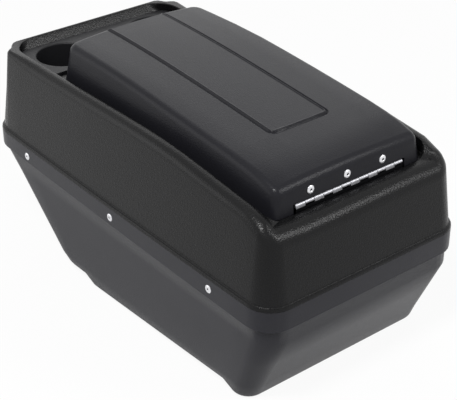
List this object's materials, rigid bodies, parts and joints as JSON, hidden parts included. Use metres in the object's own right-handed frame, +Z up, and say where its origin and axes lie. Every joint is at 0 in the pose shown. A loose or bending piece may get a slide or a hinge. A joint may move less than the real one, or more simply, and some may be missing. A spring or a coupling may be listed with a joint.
{
  "type": "center console",
  "caption": "Deep car center console: riveted two-part plastic box with arched rim, cup-well tray and a rear-hinged raised lid.",
  "frame": {"origin": "On the floor, under the middle of the body's length and width.", "axes": "+X is across, to the right when facing forward; +Y is forward, towards the cup wells; +Z is up. The lid's hinge is at -Y."},
  "size_m": [0.2932, 0.55, 0.2892],
  "materials": {
    "shell_plastic": "charcoal black, fine haircell texture, satin",
    "tub_plastic": "charcoal black, fine haircell texture, satin",
    "tray_plastic": "black, fine haircell texture",
    "lid_plastic": "charcoal black, fine haircell texture, satin",
    "hinge_steel": "bright zinc-plated",
    "rivet_aluminium": "bright, domed heads"
  },
  "bodies": {
    "console": {"upper_shell": "shell_plastic", "lower_tub": "tub_plastic", "cup_tray": "tray_plastic", "hinge_leaf_body": "hinge_steel", "hinge_pin": "hinge_steel", "hinge_rivet_left": "rivet_aluminium", "hinge_rivet_centre": "rivet_aluminium", "hinge_rivet_right": "rivet_aluminium", "hinge_rivet_washers": "rivet_aluminium", "belt_rivet_left_front": "rivet_aluminium", "belt_rivet_left_middle": "rivet_aluminium", "belt_rivet_left_rear": "rivet_aluminium", "belt_rivet_right_front": "rivet_aluminium", "belt_rivet_right_middle": "rivet_aluminium", "belt_rivet_right_rear": "rivet_aluminium", "belt_rivet_washers": "rivet_aluminium"},
    "lid": {"lid_shell": "lid_plastic", "hinge_leaf_lid": "hinge_steel", "lid_rivet_left": "rivet_aluminium", "lid_rivet_centre": "rivet_aluminium", "lid_rivet_right": "rivet_aluminium", "lid_rivet_washers": "rivet_aluminium"}
  },
  "joints": [
    {"name": "lid_hinge", "type": "hinge", "parent": "console", "child": "lid", "pos_m": [0, -0.237, 0.234], "axis": [1, 0, 0], "range_deg": [0, 95]}
  ]
}
